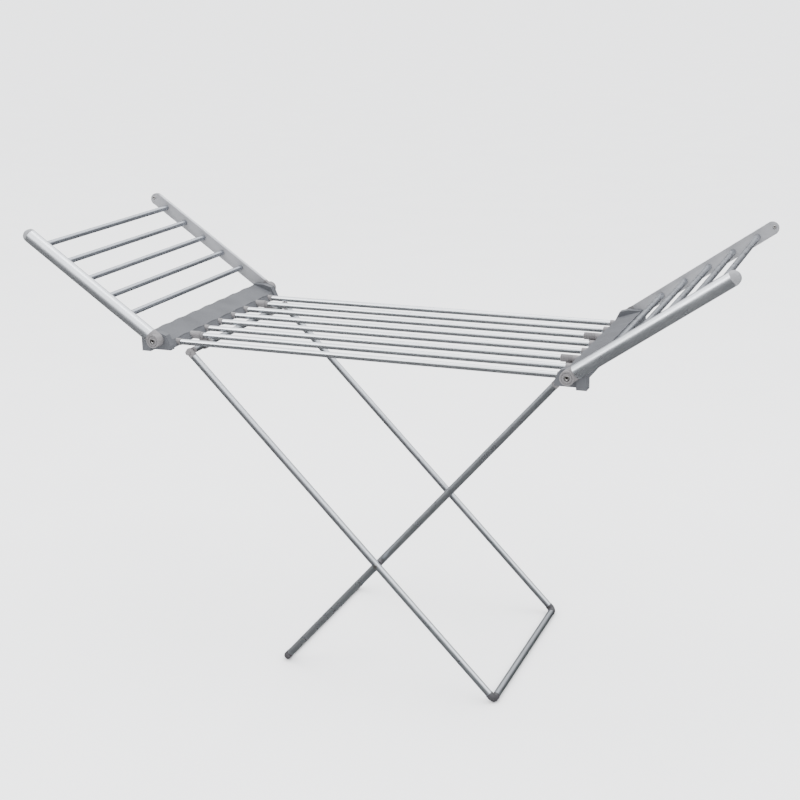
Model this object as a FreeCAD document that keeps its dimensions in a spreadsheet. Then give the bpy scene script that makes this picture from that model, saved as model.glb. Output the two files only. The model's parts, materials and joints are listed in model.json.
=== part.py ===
"""Winged clothes drying rack: eighteen round bars, two raised wings, crossed leg frames.

The origin is on the floor under the middle of the rack.  +X runs along the long centre
bars to the right wing, +Y runs from the front to the back and +Z is up.  Each wing turns
on a line along Y at the end of the centre section.  The wide leg frame hangs from the
left end of the centre section, and the narrow frame is riveted inside it.
"""
import FreeCAD, Part
import math
import os
import Sketcher
from FreeCAD import Matrix, Placement, Rotation, Vector

LEFT, RIGHT = -1, 1
FRONT, BACK = -1, 1
SIDES = {LEFT: "left", RIGHT: "right"}
ENDS = {FRONT: "front", BACK: "back"}
X_AXIS, Y_AXIS, Z_AXIS = Vector(1, 0, 0), Vector(0, 1, 0), Vector(0, 0, 1)

# Driving dimensions, in millimetres and degrees.
DIMENSIONS = {
    # overall layout
    "outer_width": 540,
    "hinge_half_span": 435,
    "hinge_height": 715,
    "wing_reach": 350,
    "wing_angle": 35,
    # round bars
    "bar_dia": 12,
    "bar_wall": 1,
    "bar_pitch": 60.3,
    "bar_drop": 12,
    "bar_half_length": 418,
    "wing_bar_first": 82,
    "wing_bar_pitch": 58.6,
    "wing_bar_end_gap": 8,
    "socket_clearance": 0.2,
    # wing rails: a rounded channel with a flat strip over its mouth
    "rail_height": 28,
    "rail_depth": 18,
    "rail_wall": 1.6,
    "rail_start": 16,
    "strip_thick": 3,
    "round_start": 6.6,
    "strip_margin": 0.6,
    "plug_length": 22,
    "hinge_pin_dia": 8,
    "hinge_bore_dia": 8.1,
    "hinge_pin_reach": 13,
    "hinge_head_thick": 2.4,
    "hinge_head_gap": 0.3,
    "hinge_recess": 3,
    "screw_head_dia": 11,
    "ring_outer_dia": 22,
    "ring_inner_dia": 19.6,
    "ring_depth": 0.8,
    "small_screw_dia": 7,
    "small_screw_head": 1.2,
    "cap_screw_offset": 6,
    "screw_shank_dia": 3,
    "screw_shank_length": 12,
    "screw_boss_dia": 8,
    "screw_spacing": 120.6,
    # end housings
    "housing_half_width": 232.4,
    "housing_wall": 3,
    "housing_inner": -22,
    "housing_ridge": 26,
    "housing_belly": 12,
    "belly_inset": 1,
    "housing_flank": 29,
    "housing_floor": -22,
    "housing_flank_low": -11,
    "cover_low": -3.2,
    "cover_high": 13,
    "cover_thick": 2.6,
    "cover_gap": 0.2,
    "wave_rise": 1.6,
    "apron_foot": -29,
    "apron_floor": -19.5,
    "apron_root": -20.5,
    "apron_root_rise": -4.6,
    "apron_brow_rise": -4.8,
    "apron_gap": 0.2,
    "apron_hole_gap": 0.4,
    "end_block_length": 16,
    "end_block_proud": 0.8,
    "cap_shoulder": -19,
    "cap_shoulder_rise": 8.5,
    "cap_foot": -29,
    "cap_foot_rise": -13,
    "stop_inner": 14,
    "stop_outer": 34,
    "stop_floor": -25,
    "stop_depth": 7,
    "stop_gap": 0.35,
    # ferrules, collars and the tubes that cross under the bars
    "ferrule_dia": 14.4,
    "ferrule_length": 10.5,
    "long_collar_dia": 16.4,
    "long_collar_length": 31,
    "long_collar_step": 7,
    "catch_collar_dia": 15.4,
    "catch_collar_length": 37,
    "rib_depth": 0.9,
    "rib_pitch": 3.4,
    "rib_width": 1.4,
    "cross_tube_dia": 13,
    "cross_tube_wall": 1.2,
    "saddle_wall": 3,
    "saddle_length": 22,
    "web_width": 8,
    # leg frames
    "leg_dia": 15,
    "leg_wall": 1.2,
    "floor_rise": 8,
    "pivot_offset": 58,
    "pivot_drop": 29,
    "wide_half_width": 221.5,
    "narrow_half_width": 194,
    "wide_foot_offset": 282,
    "crossing_offset": 30,
    "catch_offset": 400,
    "leg_pin_dia": 6,
    "leg_bore_dia": 6.1,
    "rivet_head_dia": 11,
    "rivet_head_thick": 1.6,
    "crossing_head_dia": 9,
    "cap_sleeve": 12,
    "cap_spigot": 15,
    "top_cap_dia": 16,
    "spacer_dia": 13,
    "spacer_gap": 0.2,
    "elbow_dia": 16.6,
    "elbow_bend": 9,
    "elbow_sleeve": 5,
    "elbow_spigot": 16,
    "catch_stud_length": 4.5,
    "catch_stud_dia": 5,
    "catch_slot": 6,
    "cross_tube_gap": 1,
    "plug_head": 8,
    "plug_spigot": 12,
    "rivet_dia": 5,
    "rivet_bore_dia": 5.1,
    "spigot_slack": 0.2,
    # cutting shapes reach past the faces that they cut
    "overrun": 1,
    "trim_block": 70,
}
# Lengths that follow from them: the legs from their top axis to the middle of the foot bar.
FORMULAS = {
    "wide_run": "wide_foot_offset - pivot_offset + hinge_half_span",
    "crossing_run": "crossing_offset - pivot_offset + hinge_half_span",
    "leg_drop": "hinge_height - pivot_drop - floor_rise",
    "wide_leg_span": "sqrt(wide_run ^ 2 + leg_drop ^ 2)",
    "crossing_drop": "leg_drop * crossing_run / wide_run",
    "narrow_run": "(catch_offset - crossing_offset) * leg_drop / crossing_drop",
    "narrow_leg_span": "sqrt(narrow_run ^ 2 + leg_drop ^ 2)",
}
BAR_COUNT = 8
WING_BAR_COUNT = 5
LONG_COLLAR_BARS = (2, 7)
CATCH_COLLAR_BARS = (3, 6)
RIB_COUNT = 7
WAVE_POINTS = 4
# Turns of the narrow frame on the wide one for each turn of the wide frame.
FOLD_RATIO = 1.87

doc = FreeCAD.newDocument("drying_rack")
sheet = doc.addObject("Spreadsheet::Sheet", "Dims")
for row, (alias, value) in enumerate(DIMENSIONS.items(), start=1):
    sheet.set(f"A{row}", alias)
    sheet.set(f"B{row}", str(value))
    sheet.setAlias(f"B{row}", alias)
doc.recompute()
for row, (alias, formula) in enumerate(FORMULAS.items(), start=len(DIMENSIONS) + 1):
    sheet.set(f"A{row}", alias)
    sheet.set(f"B{row}", f"={formula}")
    sheet.setAlias(f"B{row}", alias)
    doc.recompute()
nodes = []


def dim(alias):
    """Return one driving dimension from the sheet."""
    return float(getattr(sheet, alias))


def bind(feature, **expressions):
    """Bind a feature's sizes to the sheet."""
    for name, expression in expressions.items():
        feature.setExpression(name, expression)
    return feature


def keep(feature, label):
    """Name a finished sub-part and list it for export."""
    feature.Label = label
    nodes.append(feature)
    return feature


def along(point, direction):
    """Place local +Z along a direction."""
    return Placement(point, Rotation(Z_AXIS, direction))


def frame_at(point, x_dir, z_dir):
    """Place local X and Z along two given directions."""
    y_dir = z_dir.cross(x_dir)
    return Placement(Matrix(
        x_dir.x, y_dir.x, z_dir.x, point.x,
        x_dir.y, y_dir.y, z_dir.y, point.y,
        x_dir.z, y_dir.z, z_dir.z, point.z,
        0, 0, 0, 1))


def cylinder(diameter, length, placement, turn=None):
    """A round primitive whose diameter and length are sheet expressions."""
    feature = doc.addObject("Part::Cylinder", "cylinder")
    bind(feature, Radius=f"({diameter}) / 2", Height=length)
    if turn:
        feature.Angle = turn
    feature.Placement = placement
    return feature


def block(length, width, height, placement):
    """A box primitive whose sides are sheet expressions."""
    feature = doc.addObject("Part::Box", "block")
    bind(feature, Length=length, Width=width, Height=height)
    feature.Placement = placement
    return feature


def trim_block(placement):
    """A large cube that trims a rounded part to a plane."""
    return block("Dims.trim_block", "Dims.trim_block", "Dims.trim_block", placement)


def fused(parts):
    """Join several shapes into one."""
    feature = doc.addObject("Part::MultiFuse", "fused")
    feature.Shapes = parts
    feature.Refine = True
    return feature


def cut(base, tools):
    """Take tools away from a base, one after the other."""
    for tool in tools:
        feature = doc.addObject("Part::Cut", "cut")
        feature.Base = base
        feature.Tool = tool
        base = feature
    return base


def group(parts):
    """Hold separate solids of one kind in one node."""
    feature = doc.addObject("Part::Compound", "group")
    feature.Links = parts
    return feature


def tube(diameter, wall, length, placement, tools=()):
    """A round tube, with any cross holes that it needs."""
    outer = cylinder(diameter, length, placement)
    bore = cylinder(f"({diameter}) - 2 * ({wall})", length, placement)
    return cut(outer, [bore, *tools])


def shifted(placement, distance):
    """Move a placement along its own Z axis."""
    return placement.multiply(Placement(Vector(0, 0, distance), Rotation()))


def origin_plane(body, role):
    """Find one of a body's own origin planes."""
    return next(item for item in body.Origin.OriginFeatures if item.Role == role)


def polygon_body(label, corners, length, midplane=False):
    """Pad a closed outline, drawn on XY, whose corners are pairs of sheet expressions."""
    body = doc.addObject("PartDesign::Body", label)
    sketch = body.newObject("Sketcher::SketchObject", f"{label}_outline")
    sketch.AttachmentSupport = (origin_plane(body, "XY_Plane"), [""])
    sketch.MapMode = "FlatFace"
    places = [Vector(evaluate(x), evaluate(y), 0) for x, y in corners]
    count = len(places)
    for index, place in enumerate(places):
        sketch.addGeometry(Part.LineSegment(place, places[(index + 1) % count]), False)
    for index in range(count):
        sketch.addConstraint(Sketcher.Constraint("Coincident", index, 2, (index + 1) % count, 1))
    for index, (x, y) in enumerate(corners):
        for kind, expression in (("DistanceX", x), ("DistanceY", y)):
            number = sketch.addConstraint(
                Sketcher.Constraint(kind, -1, 1, index, 1, evaluate(expression)))
            sketch.renameConstraint(number, f"{kind}{index}")
            sketch.setExpression(f"Constraints.{kind}{index}", expression)
    pad = body.newObject("PartDesign::Pad", f"{label}_pad")
    pad.Profile = sketch
    pad.Midplane = midplane
    pad.setExpression("Length", length)
    return body


def evaluate(expression):
    """Work out a sheet expression with the sheet's present numbers."""
    return float(sheet.evalExpression(expression))


# Places worked out from the driving dimensions.
HALF_SPAN = dim("hinge_half_span")
HINGE_Z = dim("hinge_height")
BAR_Z = HINGE_Z - dim("bar_drop")
PIVOT = Vector(dim("pivot_offset") - HALF_SPAN, 0, HINGE_Z - dim("pivot_drop"))
CATCH = Vector(dim("catch_offset"), 0, PIVOT.z)
WIDE_FOOT = Vector(dim("wide_foot_offset"), 0, dim("floor_rise"))
WIDE_DIR = (WIDE_FOOT - PIVOT).normalize()
CROSSING = PIVOT + WIDE_DIR * ((dim("crossing_offset") - PIVOT.x) / WIDE_DIR.x)
NARROW_DIR = (CROSSING - CATCH).normalize()
NARROW_FOOT = CROSSING + NARROW_DIR * ((dim("floor_rise") - CROSSING.z) / NARROW_DIR.z)
STRIP_FACE = dim("outer_width") / 2 - dim("rail_depth") - dim("strip_thick")
BLOCK_MIDDLE = dim("housing_half_width") + dim("end_block_length") / 2


def bar_y(number):
    """Return the depth of a centre bar, counted from the front."""
    return (number - (BAR_COUNT + 1) / 2) * dim("bar_pitch")


def section_place(side, depth):
    """Place a housing section: local X points outboard, Y up and Z along the depth."""
    return frame_at(Vector(side * HALF_SPAN, depth, HINGE_Z), X_AXIS * side, Y_AXIS * -side)


def housing_point(side, outboard, depth, rise):
    """Return a point given from the wing's hinge line."""
    return Vector(side * (HALF_SPAN + outboard), depth, HINGE_Z + rise)


def under_cover(outboard):
    """Return the height of the tray's rim, just under the cover, at one distance outboard."""
    slope = "(Dims.cover_high - Dims.cover_low) / (Dims.housing_ridge - Dims.housing_inner)"
    return ("Dims.cover_low - Dims.cover_thick - Dims.cover_gap"
            f" + ({outboard} - Dims.housing_inner) * {slope}")


def screw_places(side):
    """Return the housing screws' places on the underside of the tray."""
    floor = dim("housing_floor")
    return [housing_point(side, 0, row * dim("screw_spacing"), floor) for row in (-1, 0, 1)]


def centre_bars():
    """Eight long tubes that run from one end housing to the other."""
    for number in range(1, BAR_COUNT + 1):
        start = Vector(-dim("bar_half_length"), bar_y(number), BAR_Z)
        bar = tube("Dims.bar_dia", "Dims.bar_wall", "2 * Dims.bar_half_length",
                   along(start, X_AXIS))
        keep(bar, f"centre_bar_{number}")


def end_housing(side):
    """A tray under the bars' ends, its waved cover and its two end blocks."""
    name = SIDES[side]
    inner = "Dims.housing_inner"
    inside = "(Dims.housing_inner + Dims.housing_wall)"
    ridge_inside = "(Dims.housing_ridge - Dims.housing_wall)"
    floor = "Dims.housing_floor"
    floor_inside = "Dims.housing_floor + Dims.housing_wall"
    flank_inside = "Dims.housing_flank - Dims.housing_wall"
    tray = polygon_body(
        f"tray_{name}",
        [(inner, floor), ("Dims.housing_belly", floor),
         ("Dims.housing_flank", "Dims.housing_flank_low"),
         ("Dims.housing_ridge", under_cover("Dims.housing_ridge")),
         (ridge_inside, under_cover(ridge_inside)),
         (flank_inside, "Dims.housing_flank_low + Dims.housing_wall / 2"),
         ("Dims.housing_belly - Dims.belly_inset", floor_inside), (inside, floor_inside),
         (inside, under_cover(inside)), (inner, under_cover(inner))],
        "2 * Dims.housing_half_width", midplane=True)
    tray.Placement = section_place(side, 0)
    tools = []
    for number in range(1, BAR_COUNT + 1):
        outboard = dim("housing_inner") - dim("overrun")
        start = housing_point(side, outboard, bar_y(number), -dim("bar_drop"))
        slot_place = frame_at(start, Y_AXIS * -side, X_AXIS * side)
        slot = "Dims.bar_dia + Dims.socket_clearance"
        tools.append(cylinder(slot, "2 * Dims.housing_wall", slot_place))
        tools.append(block(slot, "Dims.bar_drop", "2 * Dims.housing_wall",
                           local(slot_place, -evaluate(slot) / 2)))
    for place in screw_places(side):
        tools.append(cylinder("Dims.screw_shank_dia", "Dims.housing_wall", along(place, Z_AXIS)))
    keep(cut(tray, tools), f"end_tray_{name}")
    keep(waved_cover(side), f"end_cover_{name}")
    blocks = [end_block(side, end) for end in ENDS]
    keep(group(blocks), f"end_blocks_{name}")


def waved_cover(side):
    """A sloping cover whose top waves once for each bar, with bosses for its screws."""
    half = dim("housing_half_width")
    run = dim("housing_ridge") - dim("housing_inner")
    rise = dim("cover_high") - dim("cover_low")
    steps = WAVE_POINTS * BAR_COUNT
    low_edge = housing_point(side, dim("housing_inner"), 0, dim("cover_low"))
    crests = []
    for step in range(steps + 1):
        depth = half * (2 * step / steps - 1)
        wave = dim("wave_rise") * (math.cos(math.tau * depth / dim("bar_pitch")) - 1) / 2
        crests.append(low_edge + Vector(0, depth, wave))
    top = Part.BSplineCurve()
    top.interpolate(crests)
    bottom = [low_edge + Vector(0, depth, -dim("cover_thick")) for depth in (half, -half)]
    outline = Part.makePolygon([crests[-1], *bottom, crests[0]])
    section = Part.Face(Part.Wire([top.toShape(), *outline.Edges]))
    slab = section.extrude(Vector(side * run, 0, rise))
    middle = dim("cover_low") - rise * dim("housing_inner") / run - dim("cover_thick") / 2
    tall = middle - dim("housing_floor") - dim("housing_wall")
    for place in screw_places(side):
        foot = place + Z_AXIS * dim("housing_wall")
        slab = slab.fuse(Part.makeCylinder(dim("screw_boss_dia") / 2, tall, foot))
    for place in screw_places(side):
        foot = place + Z_AXIS * dim("housing_wall")
        slab = slab.cut(Part.makeCylinder(
            dim("screw_shank_dia") / 2, dim("screw_shank_length") - dim("housing_wall"), foot))
    feature = doc.addObject("Part::Feature", "cover")
    feature.Shape = slab
    return fused([feature, apron(side)])


def apron(side):
    """The cover's sloping skirt, which hangs between the bars and opens round each of them."""
    inner = "Dims.housing_inner"
    back = "Dims.housing_inner - Dims.apron_gap"
    skirt = polygon_body(
        f"apron_{SIDES[side]}",
        [("Dims.apron_root", "Dims.apron_root_rise"), (inner, "Dims.apron_brow_rise"),
         ("Dims.apron_foot", "Dims.apron_floor"), (back, "Dims.apron_floor"),
         (back, "Dims.apron_brow_rise - Dims.cover_thick / 3")],
        "2 * Dims.housing_half_width", midplane=True)
    skirt.Placement = section_place(side, 0)
    collared = LONG_COLLAR_BARS if side == LEFT else CATCH_COLLAR_BARS
    holes = []
    for number in range(1, BAR_COUNT + 1):
        wide = "Dims.long_collar_dia" if number in collared else "Dims.ferrule_dia"
        start = housing_point(side, dim("housing_inner"), bar_y(number), -dim("bar_drop"))
        holes.append(cylinder(f"{wide} + Dims.apron_hole_gap", "Dims.ferrule_length",
                              along(start, X_AXIS * -side)))
    return cut(skirt, holes)


def end_block(side, end):
    """The solid end of a housing, which holds the hinge pin and carries the wing's stop."""
    name = f"block_{SIDES[side]}_{ENDS[end]}"
    floor = "Dims.housing_floor"
    top = "Dims.cover_high + Dims.end_block_proud"
    outline = polygon_body(
        name,
        [("Dims.cap_foot", floor), ("Dims.housing_belly", floor),
         ("Dims.housing_flank", "Dims.housing_flank_low"),
         ("Dims.housing_ridge + Dims.end_block_proud", top),
         ("0", top), ("Dims.cap_shoulder", "Dims.cap_shoulder_rise"),
         ("Dims.cap_foot", "Dims.cap_foot_rise")],
        "Dims.end_block_length", midplane=True)
    outline.Placement = section_place(side, end * BLOCK_MIDDLE)
    stop_top = "{0} * tan(Dims.wing_angle) - (Dims.rail_height / 2 + Dims.stop_gap)" \
        " / cos(Dims.wing_angle)"
    stop = polygon_body(
        f"stop_{name}",
        [("Dims.stop_inner", "Dims.stop_floor"), ("Dims.stop_outer", "Dims.stop_floor"),
         ("Dims.stop_outer", stop_top.format("Dims.stop_outer")),
         ("Dims.stop_inner", stop_top.format("Dims.stop_inner"))],
        "Dims.end_block_length + Dims.stop_depth", midplane=True)
    stop_middle = BLOCK_MIDDLE + dim("stop_depth") / 2
    stop.Placement = section_place(side, end * stop_middle)
    pin = housing_point(side, 0, end * (STRIP_FACE - dim("hinge_pin_reach")), 0)
    hole = cylinder("Dims.hinge_pin_dia", "2 * Dims.hinge_pin_reach", along(pin, Y_AXIS * end))
    return cut(fused([outline, stop]), [hole])


def bar_fittings(side):
    """Plain ferrules on most bars, and the collars that carry a cross tube."""
    collared = LONG_COLLAR_BARS if side == LEFT else CATCH_COLLAR_BARS
    rings = []
    for number in range(1, BAR_COUNT + 1):
        if number in collared:
            continue
        start = housing_point(side, dim("housing_inner"), bar_y(number), -dim("bar_drop"))
        place = along(start, X_AXIS * -side)
        ring = cylinder("Dims.ferrule_dia", "Dims.ferrule_length", place)
        rings.append(cut(ring, [cylinder("Dims.bar_dia", "Dims.ferrule_length", place)]))
    keep(group(rings), f"bar_ferrules_{SIDES[side]}")


def saddle_collar(side, number, cross_x, offset, parts, grooves):
    """A collar on one bar with a ring under it that grips a cross tube."""
    depth = bar_y(number)
    start = housing_point(side, dim("housing_inner"), depth, -dim("bar_drop"))
    place = along(start, X_AXIS * -side)
    middle = Vector(cross_x, depth, PIVOT.z)
    half = dim("saddle_length") / 2
    ring_place = along(middle - Y_AXIS * half, Y_AXIS)
    ring = cylinder("Dims.cross_tube_dia + 2 * Dims.saddle_wall", "Dims.saddle_length", ring_place)
    reach = dim("long_collar_length") - dim("long_collar_step")
    web_start = min(cross_x, start.x - side * reach)
    web_length = (f"abs({offset} + Dims.housing_inner - Dims.long_collar_length"
                  " + Dims.long_collar_step) + 2 * Dims.saddle_wall")
    web_corner = Vector(web_start - dim("saddle_wall"), depth - dim("web_width") / 2, PIVOT.z)
    web = block(web_length, "Dims.web_width", "Dims.pivot_drop - Dims.bar_drop",
                Placement(web_corner, Rotation()))
    bar_hole = cylinder("Dims.bar_dia", "2 * Dims.catch_collar_length + Dims.saddle_length",
                        shifted(place, -dim("catch_collar_length")))
    tube_hole = cylinder("Dims.cross_tube_dia", "Dims.saddle_length", ring_place)
    return cut(fused([*parts(place), ring, web]), [bar_hole, tube_hole, *grooves(place)])


def long_collar(place):
    """A stepped collar."""
    return [cylinder("Dims.long_collar_dia", "Dims.long_collar_length - Dims.long_collar_step",
                     place),
            cylinder("Dims.ferrule_dia", "Dims.long_collar_length", place)]


def catch_collar(place):
    """A straight collar."""
    return [cylinder("Dims.catch_collar_dia", "Dims.catch_collar_length", place)]


def no_grooves(_place):
    """The stepped collar is smooth."""
    return []


def rib_grooves(place):
    """Shallow grooves round the inner end of the catch collar."""
    grooves = []
    for index in range(RIB_COUNT):
        end = dim("catch_collar_length") - dim("rib_pitch") * (index + 1)
        groove_place = shifted(place, end)
        outer = cylinder("Dims.catch_collar_dia + Dims.overrun", "Dims.rib_width", groove_place)
        inner = cylinder("Dims.catch_collar_dia - 2 * Dims.rib_depth", "Dims.rib_width",
                         groove_place)
        grooves.append(cut(outer, [inner]))
    return grooves


def cross_tubes():
    """The two tubes under the bars that the leg frames hang from and push against."""
    brackets = [saddle_collar(LEFT, number, PIVOT.x, "Dims.pivot_offset", long_collar, no_grooves)
                for number in LONG_COLLAR_BARS]
    keep(group(brackets), "pivot_brackets")
    inboard = "(Dims.hinge_half_span - Dims.catch_offset)"
    catches = [saddle_collar(RIGHT, number, CATCH.x, inboard, catch_collar, rib_grooves)
               for number in CATCH_COLLAR_BARS]
    keep(group(catches), "catch_brackets")
    for label, middle, half in (("pivot", PIVOT, "wide_half_width"),
                                ("catch", CATCH, "narrow_half_width")):
        face = dim(half) - dim("top_cap_dia") / 2 - dim("cross_tube_gap")
        tube_half = face - dim("plug_head")
        start = middle - Y_AXIS * tube_half
        long = (f"2 * (Dims.{half} - Dims.top_cap_dia / 2 - Dims.cross_tube_gap"
                " - Dims.plug_head)")
        bar = tube("Dims.cross_tube_dia", "Dims.cross_tube_wall", long, along(start, Y_AXIS))
        keep(bar, f"{label}_cross_tube")
        plugs = [cross_plug(label, middle + Y_AXIS * (end * tube_half), end) for end in ENDS]
        keep(group(plugs), f"{label}_tube_plugs")
    pins = []
    for end in ENDS:
        outside = dim("wide_half_width") + dim("top_cap_dia") / 2 + dim("spacer_gap")
        start = PIVOT + Y_AXIS * (end * outside)
        shank = cylinder("Dims.leg_pin_dia", "Dims.top_cap_dia + 2 * Dims.plug_head",
                         along(start, Y_AXIS * -end))
        head = cylinder("Dims.rivet_head_dia", "Dims.rivet_head_thick", along(start, Y_AXIS * end))
        pins.append(fused([shank, head]))
    keep(group(pins), "leg_pivot_pins")


def cross_plug(label, start, end):
    """The plug in a cross tube's end: bored for the leg's pin, or slotted for its stud."""
    place = along(start, Y_AXIS * end)
    head = cylinder("Dims.cross_tube_dia", "Dims.plug_head", place)
    spigot = cylinder("Dims.cross_tube_dia - 2 * Dims.cross_tube_wall - Dims.spigot_slack",
                      "Dims.plug_spigot", shifted(place, -dim("plug_spigot")))
    body = fused([head, spigot])
    if label == "pivot":
        return cut(body, [cylinder("Dims.leg_pin_dia", "2 * Dims.plug_spigot",
                                   shifted(place, -dim("plug_spigot")))])
    out = exit_direction()
    across = out.cross(Y_AXIS * end)
    floor = start + Y_AXIS * (end * (dim("plug_head") - dim("catch_stud_length")))
    seat = cylinder("Dims.catch_slot", "Dims.catch_stud_length", along(floor, Y_AXIS * end))
    mouth = block("Dims.catch_slot", "Dims.cross_tube_dia", "Dims.catch_stud_length",
                  frame_at(floor - across * (dim("catch_slot") / 2), across, Y_AXIS * end))
    return cut(body, [seat, mouth])


def exit_direction():
    """Return the way the narrow frame's stud first moves as the legs fold."""
    about_pivot = Vector(PIVOT.z - CATCH.z, 0, CATCH.x - PIVOT.x)
    about_crossing = Vector(CROSSING.z - CATCH.z, 0, CATCH.x - CROSSING.x)
    return (about_pivot + about_crossing * FOLD_RATIO).normalize()


def wing_direction(side):
    """Return the way that a wing's rails point from the hinge."""
    angle = math.radians(dim("wing_angle"))
    return Vector(side * math.cos(angle), 0, math.sin(angle))


def rail_place(side, end, distance=0.0, outward=0.0):
    """Place a rail's own frame: X points outward from the strip's face, Z along the wing."""
    wing = wing_direction(side)
    start = Vector(side * HALF_SPAN, end * (STRIP_FACE + outward), HINGE_Z)
    return frame_at(start + wing * distance, Y_AXIS * end, wing)


def local(place, x=0.0, y=0.0, z=0.0, spin=None):
    """Step from a placement within its own axes."""
    return place.multiply(Placement(Vector(x, y, z), spin or Rotation()))


def d_prism(height, inset, round_start, length, place):
    """A bar of D section: flat sides from an inset, then a half round."""
    box = block(f"Dims.{round_start} - ({inset})", height, length, place)
    flat_start = evaluate(inset)
    box.Placement = local(place, flat_start, -evaluate(height) / 2)
    quarter_back = Rotation(Z_AXIS, -90)
    crown = cylinder(height, length, local(place, dim(round_start), spin=quarter_back), turn=180)
    return [box, crown]


def wing_rail(side, end):
    """One side rail, a rounded channel open towards the bars."""
    place = rail_place(side, end, dim("rail_start"))
    long = "Dims.wing_reach - Dims.rail_start"
    outside = fused(d_prism("Dims.rail_height", "Dims.strip_thick", "round_start", long, place))
    hollow = fused(d_prism("Dims.rail_height - 2 * Dims.rail_wall", "Dims.strip_thick / 2",
                           "round_start", long, place))
    keep(cut(outside, [hollow]), f"wing_{SIDES[side]}_rail_{ENDS[end]}")


def wing_bar_distances():
    """Return the bars' distances from the wing's hinge line."""
    return [dim("wing_bar_first") + index * dim("wing_bar_pitch")
            for index in range(WING_BAR_COUNT)]


def wing_strip(side, end):
    """The flat strip over a rail's mouth, with a hole for each bar."""
    place = rail_place(side, end, dim("rail_start"))
    half = dim("rail_height") / 2 - dim("strip_margin")
    plate = block("Dims.strip_thick", "Dims.rail_height - 2 * Dims.strip_margin",
                  "Dims.wing_reach - Dims.rail_start", local(place, 0, -half))
    holes = [cylinder("Dims.bar_dia + Dims.socket_clearance", "Dims.strip_thick",
                      along(rail_place(side, end, distance).Base, Y_AXIS * end))
             for distance in wing_bar_distances()]
    return cut(plate, holes)


def rail_spigot(side, end, distance):
    """The tongue of a moulding that fills the rail's hollow."""
    place = rail_place(side, end, distance)
    height = "Dims.rail_height - 2 * (Dims.rail_wall + Dims.spigot_slack)"
    return d_prism(height, "Dims.strip_thick", "round_start", "Dims.plug_length", place)


def knuckle(side, end):
    """The round hinge end of a rail, with a recess for the hinge screw's head."""
    outward = along(rail_place(side, end).Base, Y_AXIS * end)
    depth = "Dims.strip_thick + Dims.rail_depth"
    face = dim("strip_thick") + dim("rail_depth")
    disc = cylinder("Dims.rail_height", depth, outward)
    neck = d_prism("Dims.rail_height", "0", "round_start", "Dims.rail_start",
                   rail_place(side, end))
    tongue = rail_spigot(side, end, dim("rail_start"))
    bore = cylinder("Dims.hinge_bore_dia", depth, outward)
    recess = cylinder("Dims.screw_head_dia + 2 * Dims.hinge_head_gap", "Dims.hinge_recess",
                      shifted(outward, face - dim("hinge_recess")))
    groove_place = shifted(outward, face - dim("ring_depth"))
    groove = cut(cylinder("Dims.ring_outer_dia", "Dims.ring_depth", groove_place),
                 [cylinder("Dims.ring_inner_dia", "Dims.ring_depth", groove_place)])
    return cut(fused([disc, *neck, *tongue]), [bore, recess, groove])


def top_cap(side, end):
    """The domed cap on a rail's upper end."""
    place = rail_place(side, end, dim("wing_reach"))
    outward = along(place.Base, Y_AXIS * end)
    rim = cylinder("Dims.rail_height", "Dims.round_start", outward)
    dome = doc.addObject("Part::Sphere", "dome")
    bind(dome, Radius="Dims.rail_height / 2")
    dome.Placement = shifted(outward, dim("round_start"))
    side_length = dim("trim_block")
    reach = side_length / 2
    below = trim_block(local(place, -reach, -reach, -side_length))
    inside = trim_block(local(place, -side_length, -reach, -reach))
    screw_hole = cylinder("Dims.screw_shank_dia", "Dims.screw_shank_length",
                          cap_screw_place(side, end))
    shell = cut(fused([rim, dome]), [below, inside, screw_hole])
    tongue = rail_spigot(side, end, dim("wing_reach") - dim("plug_length"))
    return fused([shell, *tongue])


def cap_screw_place(side, end):
    """Place the screw that holds a top cap, on its inner face."""
    centre = rail_place(side, end, dim("wing_reach") + dim("cap_screw_offset")).Base
    return along(centre, Y_AXIS * end)


def headed_screw(place):
    """A small screw with its head on a face, whose local Z points into the material."""
    shank = cylinder("Dims.screw_shank_dia", "Dims.screw_shank_length", place)
    head = cylinder("Dims.small_screw_dia", "Dims.small_screw_head",
                    shifted(place, -dim("small_screw_head")))
    return fused([shank, head])


def wing(side):
    """One wing: two rails with strips, hinge knuckles and top caps, and five bars."""
    name = f"wing_{SIDES[side]}"
    for end in ENDS:
        wing_rail(side, end)
    keep(group([wing_strip(side, end) for end in ENDS]), f"{name}_strips")
    keep(group([knuckle(side, end) for end in ENDS]), f"{name}_knuckles")
    keep(group([top_cap(side, end) for end in ENDS]), f"{name}_top_caps")
    keep(group([headed_screw(cap_screw_place(side, end)) for end in ENDS]), f"{name}_cap_screws")
    for number, distance in enumerate(wing_bar_distances(), start=1):
        inset = dim("rail_wall") + dim("wing_bar_end_gap")
        start = rail_place(side, FRONT, distance, dim("rail_depth") + dim("strip_thick") - inset)
        long = "Dims.outer_width - 2 * (Dims.rail_wall + Dims.wing_bar_end_gap)"
        bar = tube("Dims.bar_dia", "Dims.bar_wall", long, along(start.Base, Y_AXIS))
        keep(bar, f"{name}_bar_{number}")


def hinge_pins():
    """The four shoulder screws that the wings turn on."""
    pins = []
    for side in SIDES:
        for end in ENDS:
            seat = STRIP_FACE + dim("strip_thick") + dim("rail_depth")
            seat += dim("hinge_head_gap") - dim("hinge_recess")
            under_head = Vector(side * HALF_SPAN, end * seat, HINGE_Z)
            shank = cylinder(
                "Dims.hinge_pin_dia",
                "Dims.strip_thick + Dims.rail_depth - Dims.hinge_recess"
                " + Dims.hinge_head_gap + Dims.hinge_pin_reach",
                along(under_head, Y_AXIS * -end))
            head = cylinder("Dims.screw_head_dia", "Dims.hinge_head_thick",
                            along(under_head, Y_AXIS * end))
            pins.append(fused([shank, head]))
    keep(group(pins), "wing_hinge_pins")


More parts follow.
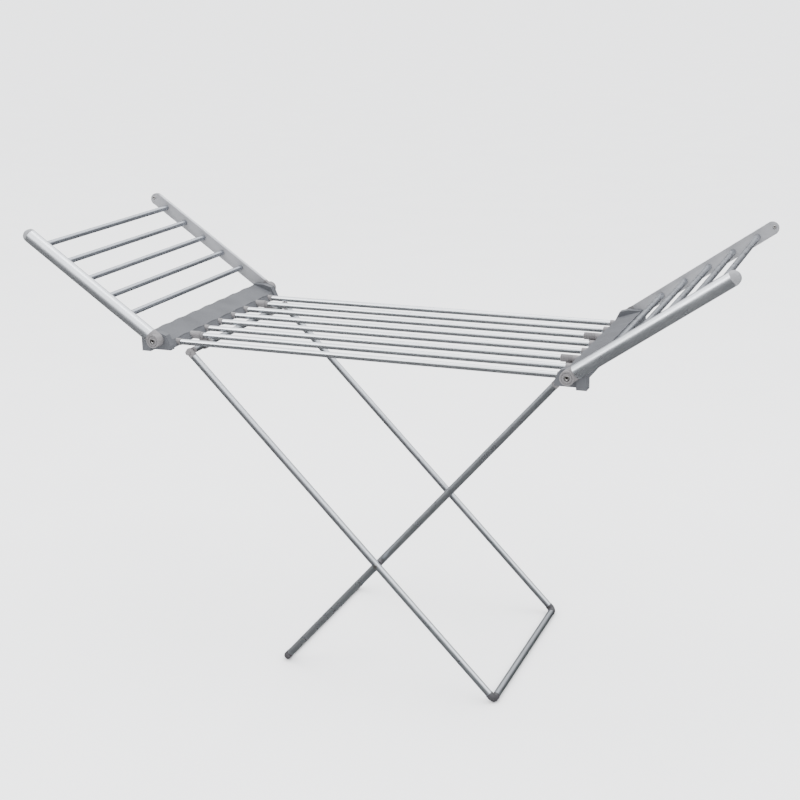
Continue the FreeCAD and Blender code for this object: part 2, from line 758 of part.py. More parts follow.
def housing_screws():
    """The screws that hold the covers to the trays, from below."""
    screws = [headed_screw(along(place, Z_AXIS)) for side in SIDES for place in screw_places(side)]
    keep(group(screws), "housing_screws")


def leg_frame(name, top, foot, direction):
    """A U of tube: two legs, a crossbar on the floor, elbows and top caps."""
    half = dim(f"{name}_half_width")
    corner = dim("elbow_bend") + dim("elbow_sleeve")
    rivet_bore = "Dims.rivet_dia" if name == "wide" else "Dims.rivet_bore_dia"
    length = f"Dims.{name}_leg_span - Dims.cap_sleeve - Dims.elbow_bend - Dims.elbow_sleeve"
    for end, end_name in ENDS.items():
        depth = Y_AXIS * (end * half)
        place = along(top + depth + direction * dim("cap_sleeve"), direction)
        rivet_hole = cylinder(rivet_bore, "2 * Dims.leg_dia",
                              along(CROSSING + depth - Y_AXIS * dim("leg_dia"), Y_AXIS))
        leg = tube("Dims.leg_dia", "Dims.leg_wall", length, place, [rivet_hole])
        keep(leg, f"{name}_leg_{end_name}")
    start = foot - Y_AXIS * (half - corner)
    crossbar = tube("Dims.leg_dia", "Dims.leg_wall",
                    f"2 * (Dims.{name}_half_width - Dims.elbow_bend - Dims.elbow_sleeve)",
                    along(start, Y_AXIS))
    keep(crossbar, f"{name}_foot_bar")
    keep(group([elbow(foot, half, end, direction) for end in ENDS]), f"{name}_elbows")
    keep(group([leg_cap(name, top, half, end, direction) for end in ENDS]), f"{name}_top_caps")


def elbow(foot, half, end, direction):
    """A moulded corner, tight inside and round outside, with a flat sole."""
    corner = foot + Y_AXIS * (end * half)
    bend = dim("elbow_bend")
    inward = Y_AXIS * -end
    centre = corner - direction * bend + inward * bend
    ring = doc.addObject("Part::Torus", "bend")
    bind(ring, Radius1="Dims.elbow_bend", Radius2="Dims.elbow_dia / 2")
    ring.Angle3 = 90
    ring.Placement = frame_at(centre, inward * -1, (inward * -1).cross(direction))
    parts = [ring]
    plug = "Dims.leg_dia - 2 * Dims.leg_wall - Dims.spigot_slack"
    for mouth, out in ((corner - direction * bend, direction * -1),
                       (corner + inward * bend, inward)):
        parts.append(cylinder("Dims.elbow_dia", "Dims.elbow_sleeve", along(mouth, out)))
        parts.append(cylinder(plug, "Dims.elbow_sleeve + Dims.elbow_spigot", along(mouth, out)))
    side = dim("trim_block")
    ground = trim_block(Placement(
        Vector(corner.x - side / 2, corner.y - side / 2, -side), Rotation()))
    return cut(fused(parts), [ground])


def leg_cap(name, top, half, end, direction):
    """A round-ended cap: bored for the pivot pin, or with a stud for the catch."""
    centre = top + Y_AXIS * (end * half)
    ball = doc.addObject("Part::Sphere", "ball")
    bind(ball, Radius="Dims.top_cap_dia / 2")
    ball.Placement = Placement(centre, Rotation())
    sleeve = cylinder("Dims.top_cap_dia", "Dims.cap_sleeve", along(centre, direction))
    plug = cylinder("Dims.leg_dia - 2 * Dims.leg_wall - Dims.spigot_slack",
                    "Dims.cap_sleeve + Dims.cap_spigot", along(centre, direction))
    if name == "wide":
        hole = cylinder("Dims.leg_bore_dia", "2 * Dims.top_cap_dia",
                        along(centre - Y_AXIS * dim("top_cap_dia"), Y_AXIS))
        return cut(fused([ball, sleeve, plug]), [hole])
    stud = cylinder("Dims.catch_stud_dia", "Dims.top_cap_dia / 2 + Dims.catch_stud_length",
                    along(centre, Y_AXIS * -end))
    return fused([ball, sleeve, plug, stud])


def crossing_fasteners():
    """The rivets that the frames turn on where they cross, and their spacers."""
    rivets = []
    spacers = []
    inner = dim("narrow_half_width") - dim("leg_dia") / 2 - dim("spacer_gap")
    gap_start = dim("narrow_half_width") + dim("leg_dia") / 2 + dim("spacer_gap")
    for end in ENDS:
        out = Y_AXIS * end
        start = CROSSING + out * inner
        shank = cylinder("Dims.rivet_dia",
                         "Dims.wide_half_width - Dims.narrow_half_width + Dims.leg_dia"
                         " + Dims.spacer_gap", along(start, out))
        inner_head = cylinder("Dims.crossing_head_dia", "Dims.rivet_head_thick",
                              along(start, out * -1))
        outer_end = CROSSING + out * (dim("wide_half_width") + dim("leg_dia") / 2)
        outer_head = cylinder("Dims.crossing_head_dia", "Dims.rivet_head_thick",
                              along(outer_end, out))
        rivets.append(fused([shank, inner_head, outer_head]))
        place = along(CROSSING + out * gap_start, out)
        long = ("Dims.wide_half_width - Dims.narrow_half_width - Dims.leg_dia"
                " - Dims.spacer_gap")
        sleeve = cylinder("Dims.spacer_dia", long, place)
        spacers.append(cut(sleeve, [cylinder("Dims.rivet_dia", long, place)]))
    keep(group(rivets), "crossing_rivets")
    keep(group(spacers), "crossing_spacers")


def build():
    """Make every sub-part."""
    centre_bars()
    for side in SIDES:
        end_housing(side)
        bar_fittings(side)
    cross_tubes()
    hinge_pins()
    housing_screws()
    for side in SIDES:
        wing(side)
    leg_frame("wide", PIVOT, WIDE_FOOT, WIDE_DIR)
    leg_frame("narrow", CATCH, NARROW_FOOT, NARROW_DIR)
    crossing_fasteners()


def export():
    """Check every object and write one STEP file for each sub-part."""
    doc.recompute()
    for item in doc.Objects:
        if "Invalid" in item.State or "Error" in item.State:
            raise RuntimeError(f"{item.Label} failed: {item.State}")
    os.makedirs("parts", exist_ok=True)
    for node in nodes:
        shape = node.Shape
        if shape.isNull() or not shape.isValid() or not shape.Solids:
            raise RuntimeError(f"{node.Label} has no valid solid")
        shape.exportStep(f"parts/{node.Label}.step")
        print(f"{node.Label}: {len(shape.Solids)} solids, {shape.Volume / 1000:.2f} cm3")


build()
export()
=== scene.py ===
import json
import math
from collections import namedtuple
from functools import partial

import bmesh
import bpy
from mathutils import Matrix, Vector


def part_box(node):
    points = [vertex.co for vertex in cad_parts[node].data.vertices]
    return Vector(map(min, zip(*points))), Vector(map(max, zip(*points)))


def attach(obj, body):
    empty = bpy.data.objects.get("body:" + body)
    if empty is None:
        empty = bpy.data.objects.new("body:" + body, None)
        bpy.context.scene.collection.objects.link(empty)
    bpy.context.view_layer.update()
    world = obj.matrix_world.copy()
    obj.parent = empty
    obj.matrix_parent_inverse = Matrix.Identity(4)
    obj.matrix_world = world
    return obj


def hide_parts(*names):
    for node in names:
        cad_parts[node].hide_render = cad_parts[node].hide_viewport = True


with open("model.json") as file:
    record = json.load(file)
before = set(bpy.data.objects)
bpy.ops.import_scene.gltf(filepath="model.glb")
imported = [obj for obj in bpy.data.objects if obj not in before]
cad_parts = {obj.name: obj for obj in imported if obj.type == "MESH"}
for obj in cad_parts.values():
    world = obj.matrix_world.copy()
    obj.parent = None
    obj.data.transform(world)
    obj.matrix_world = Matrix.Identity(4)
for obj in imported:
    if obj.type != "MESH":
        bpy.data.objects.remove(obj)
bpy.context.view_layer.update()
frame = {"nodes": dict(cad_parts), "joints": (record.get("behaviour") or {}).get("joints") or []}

MM = 0.001
NODES = frame["nodes"]
JOINTS = {joint["name"]: joint for joint in frame["joints"]}

# Directions along Y, for the rack's front and back.
ENDS = (-1, 1)

# --- materials -------------------------------------------------------------------------------

# How far a render softens sharp edges, for each kind of material.
TUBE_SOFTNESS, MOULDING_SOFTNESS, STEEL_SOFTNESS = 0.3 * MM, 0.5 * MM, 0.2 * MM
# How deep the fine relief of each kind of material is.
TUBE_RELIEF, MOULDING_RELIEF, STEEL_RELIEF = 0.08 * MM, 0.12 * MM, 0.06 * MM


class Recipe:
    """A material whose node tree is written one link at a time."""

    def __init__(self, name):
        self.material = bpy.data.materials.new(name)
        self.material.use_nodes = True
        self.tree = self.material.node_tree
        self.shader = self.tree.nodes["Principled BSDF"]
        self.place = self.node("ShaderNodeTexCoord").outputs["Object"]

    def node(self, kind, **settings):
        made = self.tree.nodes.new(kind)
        for key, value in settings.items():
            setattr(made, key, value)
        return made

    def link(self, source, target):
        self.tree.links.new(source, target)

    def feed(self, **sources):
        """Link outputs to the shader's sockets, with underscores for the spaces in their names."""
        for key, source in sources.items():
            self.link(source, self.shader.inputs[key.replace("_", " ")])

    def fix(self, **values):
        """Set constants on the shader's own sockets, named as for feed."""
        for key, value in values.items():
            self.shader.inputs[key.replace("_", " ")].default_value = value

    def stretched(self, scale):
        mapping = self.node("ShaderNodeMapping")
        mapping.inputs["Scale"].default_value = scale
        self.link(self.place, mapping.inputs["Vector"])
        return mapping.outputs["Vector"]

    def noise(self, scale, detail=3.0, stretch=(1, 1, 1), roughness=0.5):
        made = self.node("ShaderNodeTexNoise")
        made.inputs["Scale"].default_value = scale
        made.inputs["Detail"].default_value = detail
        made.inputs["Roughness"].default_value = roughness
        self.link(self.stretched(stretch), made.inputs["Vector"])
        return made.outputs["Fac"]

    def remap(self, value, low, high, start=0.3, end=0.7):
        made = self.node("ShaderNodeMapRange")
        made.inputs["From Min"].default_value = start
        made.inputs["From Max"].default_value = end
        made.inputs["To Min"].default_value = low
        made.inputs["To Max"].default_value = high
        self.link(value, made.inputs["Value"])
        return made.outputs["Result"]

    def ramp(self, value, dark, light, start=0.3, end=0.7):
        made = self.node("ShaderNodeValToRGB")
        for element, position, colour in zip(made.color_ramp.elements, (start, end), (dark, light)):
            element.position = position
            element.color = (*colour, 1)
        self.link(value, made.inputs["Fac"])
        return made.outputs["Color"]

    def multiplied(self, first, second):
        made = self.node("ShaderNodeMix", data_type="RGBA", blend_type="MULTIPLY")
        made.inputs[0].default_value = 1.0
        self.link(first, made.inputs[6])
        self.link(second, made.inputs[7])
        return made.outputs[2]

    def blended(self, factor, base, colour):
        """Mix a plain colour into a base."""
        made = self.node("ShaderNodeMix", data_type="RGBA", blend_type="MIX")
        self.link(factor, made.inputs[0])
        self.link(base, made.inputs[6])
        made.inputs[7].default_value = (*colour, 1)
        return made.outputs[2]

    def edge_wear(self, most, start=0.52, end=0.62):
        """A share that grows from none on flat faces to the most on convex edges."""
        geometry = self.node("ShaderNodeNewGeometry")
        return self.remap(geometry.outputs["Pointiness"], 0.0, most, start, end)

    def bump(self, heights, distance, softness):
        """Stack reliefs, each a height and a strength, on softened edges."""
        bevel = self.node("ShaderNodeBevel", samples=4)
        bevel.inputs["Radius"].default_value = softness
        normal = bevel.outputs["Normal"]
        for height, strength in heights:
            made = self.node("ShaderNodeBump")
            made.inputs["Strength"].default_value = strength
            made.inputs["Distance"].default_value = distance
            self.link(height, made.inputs["Height"])
            self.link(normal, made.inputs["Normal"])
            normal = made.outputs["Normal"]
        self.feed(Normal=normal)


def aluminium(name, dark, light, rough, grain):
    """Satin anodised tube: fine drawn lines along one axis, faint blotches and handling marks."""
    recipe = Recipe(name)
    lines = recipe.noise(900, 2.0, grain)
    cloud = recipe.noise(9, 4.0)
    fine = recipe.noise(2600, 2.0)
    marks = recipe.noise(38, 5.0, roughness=0.62)
    tone = recipe.ramp(cloud, dark, light, 0.25, 0.75)
    drawn = recipe.ramp(lines, (0.90, 0.90, 0.91), (1.0, 1.0, 1.0))
    recipe.feed(Base_Color=recipe.multiplied(tone, drawn),
                Roughness=recipe.remap(marks, rough - 0.05, rough + 0.07))
    recipe.fix(Metallic=0.92)
    recipe.bump(((lines, 0.10), (fine, 0.05)), TUBE_RELIEF, TUBE_SOFTNESS)
    return recipe.material


def moulding(name, dark, light, rough, texture=1500):
    """Moulded plastic: a fine spark-eroded texture, soft colour drift and paler worn edges."""
    recipe = Recipe(name)
    drift = recipe.noise(14, 4.0)
    pores = recipe.noise(texture, 3.0, roughness=0.6)
    speck = recipe.noise(420, 4.0, roughness=0.65)
    tone = recipe.ramp(drift, dark, light, 0.28, 0.72)
    speckled = recipe.ramp(speck, (0.93, 0.93, 0.93), (1.0, 1.0, 1.0), 0.35, 0.6)
    base = recipe.multiplied(tone, speckled)
    worn = tuple(channel * 1.28 for channel in light)
    recipe.feed(Base_Color=recipe.blended(recipe.edge_wear(0.45), base, worn),
                Roughness=recipe.remap(speck, rough - 0.06, rough + 0.08))
    recipe.fix(Specular_IOR_Level=0.24)
    recipe.bump(((pores, 0.22), (drift, 0.06)), MOULDING_RELIEF, MOULDING_SOFTNESS)
    return recipe.material


def turned_steel(name, base, rough):
    """Plated steel: blotchy, with fine turning marks."""
    recipe = Recipe(name)
    cloud = recipe.noise(160, 5.0, roughness=0.6)
    turning = recipe.noise(2200, 2.0, (1, 1, 0.2))
    dark = tuple(channel * 0.72 for channel in base)
    recipe.feed(Base_Color=recipe.ramp(cloud, dark, base),
                Roughness=recipe.remap(cloud, rough - 0.06, rough + 0.1))
    recipe.fix(Metallic=1.0)
    recipe.bump(((turning, 0.18),), STEEL_RELIEF, STEEL_SOFTNESS)
    return recipe.material


def paper(name):
    """Matt studio paper with a faint mottle."""
    recipe = Recipe(name)
    recipe.feed(Base_Color=recipe.ramp(recipe.noise(3, 3.0), (0.94, 0.94, 0.94), (0.96, 0.96, 0.96)))
    recipe.fix(Roughness=0.95, Specular_IOR_Level=0.1)
    return recipe.material


# The drawn lines run along the axes whose scale is small. Rails and legs slope in XZ planes.
ALONG_X, ALONG_Y = (0.015, 1, 1), (1, 0.015, 1)
RAIL_GRAIN, LEG_GRAIN = (0.05, 1, 0.05), (0.06, 1, 0.06)

BAR_X = aluminium("bar_aluminium", (0.50, 0.52, 0.54), (0.61, 0.63, 0.65), 0.18, ALONG_X)
# The wing bars take a darker copy of the bar aluminium: painted shade, as they sit in shade.
WING_BAR_SHADED = aluminium("wing_bar_aluminium_painted_shade", (0.32, 0.34, 0.37), (0.42, 0.44, 0.48), 0.28, ALONG_Y)
RAIL = aluminium("rail_aluminium", (0.50, 0.52, 0.545), (0.66, 0.68, 0.705), 0.31, RAIL_GRAIN)
LEG = aluminium("leg_aluminium", (0.37, 0.39, 0.41), (0.47, 0.49, 0.515), 0.30, LEG_GRAIN)
# The foot bars and the catch cross tube take a darker copy of the leg aluminium: painted shade, as
# they sit in shade.
FOOT_BAR_SHADED = aluminium("foot_bar_aluminium_painted_shade", (0.20, 0.21, 0.225), (0.26, 0.275, 0.29), 0.32, ALONG_Y)
HOUSING = moulding("housing_plastic", (0.056, 0.058, 0.064), (0.076, 0.079, 0.087), 0.52)
FITTING = moulding("fitting_plastic", (0.108, 0.104, 0.107), (0.146, 0.140, 0.144), 0.44, 1700)
STRIP = moulding("strip_plastic", (0.160, 0.162, 0.170), (0.210, 0.212, 0.222), 0.46, 1300)
ELBOW = moulding("elbow_plastic", (0.034, 0.033, 0.036), (0.056, 0.054, 0.058), 0.42)
STEEL = turned_steel("plated_steel", (0.55, 0.54, 0.53), 0.34)
# A darker steel for the walls and floors of screw recesses: painted shade in the hollows, not a finish
# of the screws.
RECESS_SHADE_STEEL = turned_steel("recess_painted_shade_steel", (0.085, 0.075, 0.068), 0.42)

# Which material goes on a CAD node, by what its name holds. The first row that fits counts.
FINISHES = (
    ("centre_bar_", BAR_X), ("_bar_", WING_BAR_SHADED), ("_rail_", RAIL), ("_leg_", LEG),
    ("_foot_bar", FOOT_BAR_SHADED), ("_cross_tube", FOOT_BAR_SHADED), ("end_", HOUSING), ("_strips", STRIP),
    ("wing_left_top_caps", STRIP), ("wing_right_top_caps", STRIP), ("_elbows", ELBOW),
    ("crossing_spacers", ELBOW), ("crossing_rivets", STEEL), ("_hinge_pins", STEEL),
    ("_screws", STEEL), ("leg_pivot_pins", FITTING), ("_ferrules", FITTING),
    ("_brackets", FITTING), ("_knuckles", FITTING), ("_top_caps", FITTING), ("_plugs", FITTING),
)


def material_for(node):
    return next(material for words, material in FINISHES if words in node)


for node_name, node_object in NODES.items():
    node_object.data.materials.clear()
    node_object.data.materials.append(material_for(node_name))

# --- places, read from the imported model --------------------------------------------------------


def joint_place(name):
    return Vector(JOINTS[name]["pos_m"])


def box_middle(node):
    low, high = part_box(node)
    return (low + high) / 2


HINGES = {"left": joint_place("left_wing_fold"), "right": joint_place("right_wing_fold")}
PIVOT = joint_place("leg_fold")
CROSSING = joint_place("leg_cross")
CATCH = box_middle("catch_cross_tube")


def placed(point, axis):
    """A placement at a point, with its local Z along an axis."""
    turn = Vector(axis).normalized().to_track_quat("Z", "Y").to_matrix().to_4x4()
    return Matrix.Translation(point) @ turn


# --- small mesh builders -----------------------------------------------------------------------

SCREW_SEGMENTS, LIP_SEGMENTS, BEAD_SIDES, ROUND_STEPS = 72, 40, 10, 5


def linked(name, data):
    """A new object in the scene."""
    made = bpy.data.objects.new(name, data)
    bpy.context.scene.collection.objects.link(made)
    return made


def piece(mesh, name, body, like):
    """Turn a mesh into a piece that rides on a body and takes a CAD node's finish."""
    bmesh.ops.recalc_face_normals(mesh, faces=mesh.faces)
    data = bpy.data.meshes.new(name)
    mesh.to_mesh(data)
    mesh.free()
    for polygon in data.polygons:
        polygon.use_smooth = True
    data.materials.append(material_for(like))
    # Pieces with shaded recess faces get a second slot in the darker steel, as painted shade.
    if any(polygon.material_index for polygon in data.polygons):
        data.materials.append(RECESS_SHADE_STEEL)
    made = linked(name, data)
    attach(made, body)
    return made


def steps_round(count):
    """Angles that go once round in equal steps."""
    return [math.tau * index / count for index in range(count)]


def rings_to_skin(mesh, rings, shaded_bands=0):
    """Join rings of points with quads, and cap both ends. The last bands and cap can take painted
    shade, in the darker recess steel.
    """
    rows = [[mesh.verts.new(point) for point in ring] for ring in rings]
    first_shaded = len(rows) - 1 - shaded_bands
    for level, (first, second) in enumerate(zip(rows, rows[1:])):
        for index in range(len(first)):
            after = (index + 1) % len(first)
            face = mesh.faces.new((first[index], first[after], second[after], second[index]))
            face.material_index = int(level >= first_shaded)
    mesh.faces.new(rows[0][::-1])
    mesh.faces.new(rows[-1]).material_index = int(shaded_bands > 0)


def turned(mesh, place, profile, shaded_bands):
    """Revolve a profile of (reach, height) pairs round a placement's Z axis. A reach is a radius,
    or a function that gives one for an angle."""
    rings = []
    for reach, height in profile:
        ring = []
        for angle in steps_round(SCREW_SEGMENTS):
            radius = reach(angle) if callable(reach) else reach
            ring.append(place @ Vector((radius * math.cos(angle), radius * math.sin(angle), height)))
        rings.append(ring)
    rings_to_skin(mesh, rings, shaded_bands)


def lip(mesh, place, radius, bead):
    """A small round bead that stands on a tube's outside, as a closed ring, flat where it meets
    the floor."""
    grid = []
    for angle in steps_round(LIP_SEGMENTS):
        out = Vector((math.cos(angle), math.sin(angle), 0))
        row = []
        for turn in steps_round(BEAD_SIDES):
            point = place @ (out * (radius + bead * math.cos(turn))
                             + Vector((0, 0, bead * math.sin(turn))))
            point.z = max(point.z, 0)
            row.append(mesh.verts.new(point))
        grid.append(row)
    for index, row in enumerate(grid):
        beside = grid[(index + 1) % LIP_SEGMENTS]
        for side in range(BEAD_SIDES):
            following = (side + 1) % BEAD_SIDES
            mesh.faces.new((row[side], beside[side], beside[following], row[following]))


def rounded(points, radius):
    """Round the inner corners of an open line."""
    line = [points[0]]
    for before, corner, after in zip(points, points[1:], points[2:]):
        start = corner + (before - corner).normalized() * radius
        finish = corner + (after - corner).normalized() * radius
        for step in range(ROUND_STEPS + 1):
            share = step / ROUND_STEPS
            line.append(start.lerp(corner, share).lerp(corner.lerp(finish, share), share))
    line.append(points[-1])
    return line


def bead_along(mesh, line, bead):
    """A round bead along a line that lies in an XZ plane."""
    rings = []
    for index, point in enumerate(line):
        ahead = line[min(index + 1, len(line) - 1)] - line[max(index - 1, 0)]
        across = ahead.normalized().cross(Vector((0, 1, 0)))
        rings.append([point + (across * math.cos(turn) + Vector((0, math.sin(turn), 0))) * bead
                      for turn in steps_round(BEAD_SIDES)])
    rings_to_skin(mesh, rings)


# --- screws with real recesses, in place of the plain CAD ones -----------------------------------

Screw = namedtuple("Screw", "head_radius head_height outline socket depth shank_radius shank_length")

HEAD_SOFTNESS = 0.16       # the head's rounding, as a share of its radius
CROSS_ARM = 0.26           # half the width of a cross's arm, as a share of its reach
SHADED_RECESS_BANDS = 2             # the recess's wall and floor, in a darker steel as painted shade
# Sizes of the recess at its mouth, at its floor and at the floor's middle, as shares of the socket.
RECESS_MOUTH, RECESS_FLOOR, RECESS_CENTRE = 1.06, 0.9, 0.1


def hexagon(angle, size):
    """A six-sided socket, size being the distance to its flats."""
    sixth = math.tau / 6
    return size / math.cos((angle % sixth) - sixth / 2)


def cross(angle, size):
    """A cross-shaped recess with narrow arms."""
    quarter = math.tau / 4
    lean = (angle + quarter / 2) % quarter - quarter / 2
    half_arm = size * CROSS_ARM
    if abs(math.sin(lean)) * size <= half_arm * math.cos(lean):
        return size / math.cos(lean)
    return half_arm / abs(math.sin(lean))


def screw(mesh, kind, face, out):
    """A screw whose head stands on a face, with a real recess for its driver."""
    radius, height = kind.head_radius, kind.head_height
    soft = radius * HEAD_SOFTNESS
    floor_height = height - kind.depth

    def recess(share):
        return partial(kind.outline, size=kind.socket * share)

    profile = [
        (kind.shank_radius, -kind.shank_length), (kind.shank_radius, 0),
        (radius - soft, 0), (radius, soft * 0.6),
        (radius, height - soft), (radius - soft * 0.3, height - soft * 0.3),
        (radius - soft, height), (recess(RECESS_MOUTH), height),
        (recess(1), height - soft * 0.5), (recess(RECESS_FLOOR), floor_height),
        (kind.socket * RECESS_CENTRE, floor_height),
    ]
    # The recess's wall and floor take the darker steel as painted shade.
    turned(mesh, placed(face, out), profile, SHADED_RECESS_BANDS)


HINGE_SCREW = Screw(head_radius=5.5 * MM, head_height=2.4 * MM, outline=hexagon, socket=2.1 * MM,
                    depth=1.9 * MM, shank_radius=4 * MM, shank_length=30 * MM)
SMALL_SCREW = Screw(head_radius=3.5 * MM, head_height=1.2 * MM, outline=cross, socket=2.0 * MM,
                    depth=0.9 * MM, shank_radius=1.5 * MM, shank_length=11.8 * MM)
# From the outer end of a cap screw's shank, where its CAD box ends, to the underside of its head.
CAP_DEPTH = 12 * MM


def hinge_screws():
    under_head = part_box("wing_hinge_pins")[1].y - HINGE_SCREW.head_height
    screws = bmesh.new()
    for hinge in HINGES.values():
        for end in ENDS:
            face = Vector((hinge.x, end * under_head, hinge.z))
            screw(screws, HINGE_SCREW, face, (0, end, 0))
    made = piece(screws, "hinge_socket_screws", "centre_section", "wing_hinge_pins")
    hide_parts("wing_hinge_pins")


def cap_screws(side):
    node = f"wing_{side}_cap_screws"
    middle = box_middle(node)
    under_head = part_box(node)[1].y - CAP_DEPTH
    screws = bmesh.new()
    for end in ENDS:
        face = Vector((middle.x, end * under_head, middle.z))
        screw(screws, SMALL_SCREW, face, (0, -end, 0))
    made = piece(screws, f"cap_cross_screws_{side}", f"{side}_wing", node)
    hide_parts(node)


def housing_screws():
    low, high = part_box("housing_screws")
    outer_row = high.y - SMALL_SCREW.head_radius
    under_head = low.z + SMALL_SCREW.head_height
    screws = bmesh.new()
    for hinge in HINGES.values():
        for row in (-1, 0, 1):
            face = Vector((hinge.x, row * outer_row, under_head))
            screw(screws, SMALL_SCREW, face, (0, 0, -1))
    made = piece(screws, "housing_cross_screws", "centre_section", "housing_screws")
    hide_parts("housing_screws")


hinge_screws()
for side_name in HINGES:
    cap_screws(side_name)
housing_screws()

# --- moulded beads and lips that catch the light ---------------------------------------------------

# The centre line's radius and the bead's own radius, for each kind of lip.
FERRULE_LIP, ELBOW_LIP, CAP_LIP = (6.65 * MM, 0.55 * MM), (7.75 * MM, 0.6 * MM), (7.5 * MM, 0.55 * MM)
BAR_NUMBERS = range(1, 9)
# Bars that a long collar holds in place of a short ferrule.
COLLARED = {"left": (2, 7), "right": (3, 6)}
# From a leg's top to the mouth of its cap, and from a foot's corner to the mouths of its elbow.
CAP_SLEEVE, ELBOW_SLEEVE = 12 * MM, 14 * MM

# The end blocks' raised rim, in mm from the hinge line: outboard and up.
RIM_OUTLINE = ((12, -22), (29, -11), (26.8, 13.8), (0, 13.8), (-19, 8.5), (-29, -13), (-29, -22))
RIM_ROUND, RIM_BEAD, BLOCK_FACE = 3 * MM, 0.8 * MM, 248.4 * MM


def ferrule_lips(side):
    low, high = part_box(f"bar_ferrules_{side}")
    mouth = high.x if side == "left" else low.x
    beads = bmesh.new()
    for number in BAR_NUMBERS:
        if number not in COLLARED[side]:
            bar = box_middle(f"centre_bar_{number}")
            lip(beads, placed(Vector((mouth, bar.y, bar.z)), (1, 0, 0)), *FERRULE_LIP)
    piece(beads, f"ferrule_lips_{side}", "centre_section", f"bar_ferrules_{side}")


def frame_lips(name, top, down):
    """Lips at the mouths of a leg frame's elbows and caps, given a leg's top and direction."""
    along_leg = Vector((down.x, 0, down.z)).normalized()
    foot = box_middle(f"{name}_foot_bar")
    half_width = box_middle(f"{name}_leg_back").y
    beads = bmesh.new()
    for end in ENDS:
        corner = Vector((foot.x, end * half_width, foot.z))
        lip(beads, placed(corner - along_leg * ELBOW_SLEEVE, along_leg), *ELBOW_LIP)
        mouth = corner - Vector((0, end * ELBOW_SLEEVE, 0))
        lip(beads, placed(mouth, (0, 1, 0)), *ELBOW_LIP)
    piece(beads, f"{name}_elbow_lips", f"{name}_frame", f"{name}_elbows")
    beads = bmesh.new()
    for end in ENDS:
        mouth = Vector((top.x, end * half_width, top.z)) + along_leg * CAP_SLEEVE
        lip(beads, placed(mouth, along_leg), *CAP_LIP)
    piece(beads, f"{name}_cap_lips", f"{name}_frame", f"{name}_top_caps")


def end_block_rims(side):
    hinge = HINGES[side]
    outwards = math.copysign(MM, hinge.x)
    beads = bmesh.new()
    for end in ENDS:
        depth = end * (BLOCK_FACE - RIM_BEAD)
        points = [Vector((hinge.x + outboard * outwards, depth, hinge.z + rise * MM))
                  for outboard, rise in RIM_OUTLINE]
        bead_along(beads, rounded(points, RIM_ROUND), RIM_BEAD)
    piece(beads, f"end_block_rims_{side}", "centre_section", f"end_blocks_{side}")


for side_name in HINGES:
    ferrule_lips(side_name)
frame_lips("wide", PIVOT, CROSSING - PIVOT)
frame_lips("narrow", Vector((CATCH.x, 0, PIVOT.z)), CROSSING - CATCH)
for side_name in HINGES:
    end_block_rims(side_name)

# --- camera, light and floor -------------------------------------------------------------------------

CAMERA_PLACE = Vector((1.06887, -2.66906, 1.43329))
CAMERA_TARGET = Vector((0.00399, -0.01171, 0.55773))
CAMERA_ROLL = -0.017829
SENSOR_WIDTH, LENS = 36, 63.36
FLOOR_RADIUS, FLOOR_SEGMENTS = 160, 96
SKY_STRENGTH = 3.7
# Tones of the sky by height, where 0 is straight down, 0.5 level and 1 straight up.
SKY = ((0.48, 0.035), (0.52, 0.06), (0.63, 0.11), (0.80, 1.00))
SKY_TINT = (1, 1.01, 1.03)


def set_camera():
    data = bpy.data.cameras.new("camera")
    data.sensor_width = SENSOR_WIDTH
    data.lens = LENS
    camera = linked("camera", data)
    forward = (CAMERA_TARGET - CAMERA_PLACE).normalized()
    level_right = forward.cross(Vector((0, 0, 1))).normalized()
    level_up = level_right.cross(forward)
    right = level_right * math.cos(CAMERA_ROLL) + level_up * math.sin(CAMERA_ROLL)
    up = level_up * math.cos(CAMERA_ROLL) - level_right * math.sin(CAMERA_ROLL)
    turn = Matrix((right, up, -forward)).transposed().to_4x4()
    camera.matrix_world = Matrix.Translation(CAMERA_PLACE) @ turn
    bpy.context.scene.camera = camera


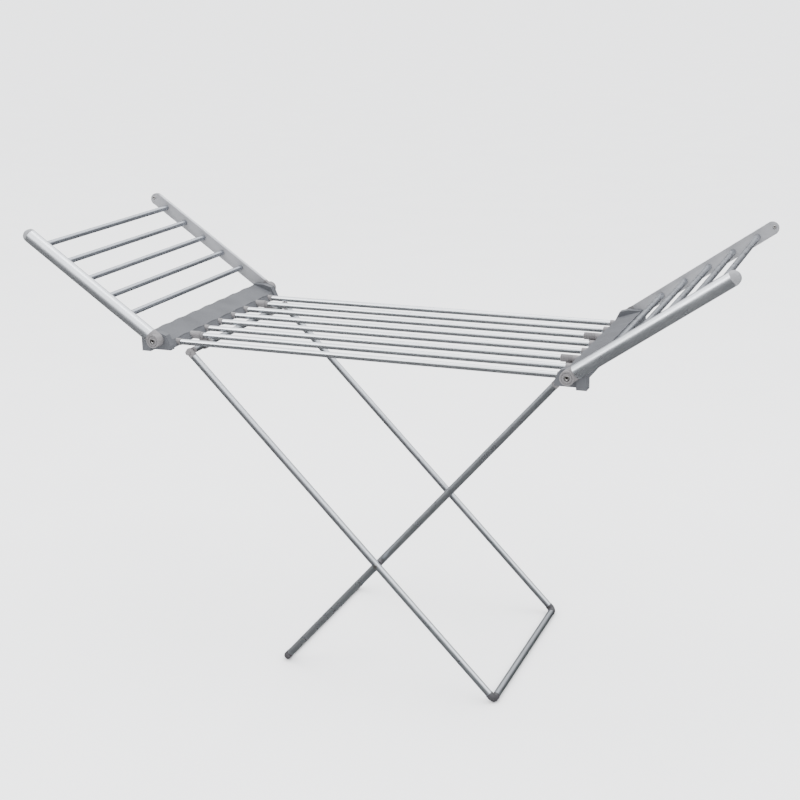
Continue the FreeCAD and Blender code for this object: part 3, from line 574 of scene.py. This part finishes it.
def lay_floor():
    mesh = bmesh.new()
    bmesh.ops.create_circle(mesh, cap_ends=True, segments=FLOOR_SEGMENTS, radius=FLOOR_RADIUS)
    data = bpy.data.meshes.new("floor")
    mesh.to_mesh(data)
    mesh.free()
    data.materials.append(paper("floor_paper"))
    floor = linked("floor", data)
    # Metal reflects the studio's sky and its dim surroundings, and not the pale paper under it.
    floor.visible_glossy = False


def light_sky():
    world = bpy.data.worlds.new("studio")
    world.use_nodes = True
    tree = world.node_tree
    place = tree.nodes.new("ShaderNodeTexCoord")
    split = tree.nodes.new("ShaderNodeSeparateXYZ")
    height = tree.nodes.new("ShaderNodeMapRange")
    height.inputs["From Min"].default_value = -1.0
    tones = tree.nodes.new("ShaderNodeValToRGB")
    tones.color_ramp.interpolation = "EASE"
    while len(tones.color_ramp.elements) < len(SKY):
        tones.color_ramp.elements.new(0.5)
    for element, (position, tone) in zip(tones.color_ramp.elements, SKY):
        element.position = position
        element.color = (*(tone * tint for tint in SKY_TINT), 1)
    background = tree.nodes["Background"]
    background.inputs["Strength"].default_value = SKY_STRENGTH
    tree.links.new(place.outputs["Generated"], split.inputs["Vector"])
    tree.links.new(split.outputs["Z"], height.inputs["Value"])
    tree.links.new(height.outputs["Result"], tones.inputs["Fac"])
    tree.links.new(tones.outputs["Color"], background.inputs["Color"])
    bpy.context.scene.world = world


def softbox(name, place, target, size, power):
    """A rectangular lamp at a place, aimed at a target, with its width and height in size."""
    data = bpy.data.lights.new(name, "AREA")
    data.shape = "RECTANGLE"
    data.size, data.size_y = size
    data.energy = power
    aim = Vector(target) - Vector(place)
    turn = aim.to_track_quat("-Z", "Y").to_matrix().to_4x4()
    linked(name, data).matrix_world = Matrix.Translation(place) @ turn


set_camera()
lay_floor()
light_sky()
softbox("key_left", (-2.4, -2.6, 3.4), (0, 0, 0.5), (2.2, 2.2), 70)
softbox("top", (0.2, 0.4, 3.6), (0, 0, 0.6), (3.0, 1.2), 50)
softbox("fill_right", (3.4, -1.0, 2.2), (0, 0, 0.5), (1.6, 2.4), 25)
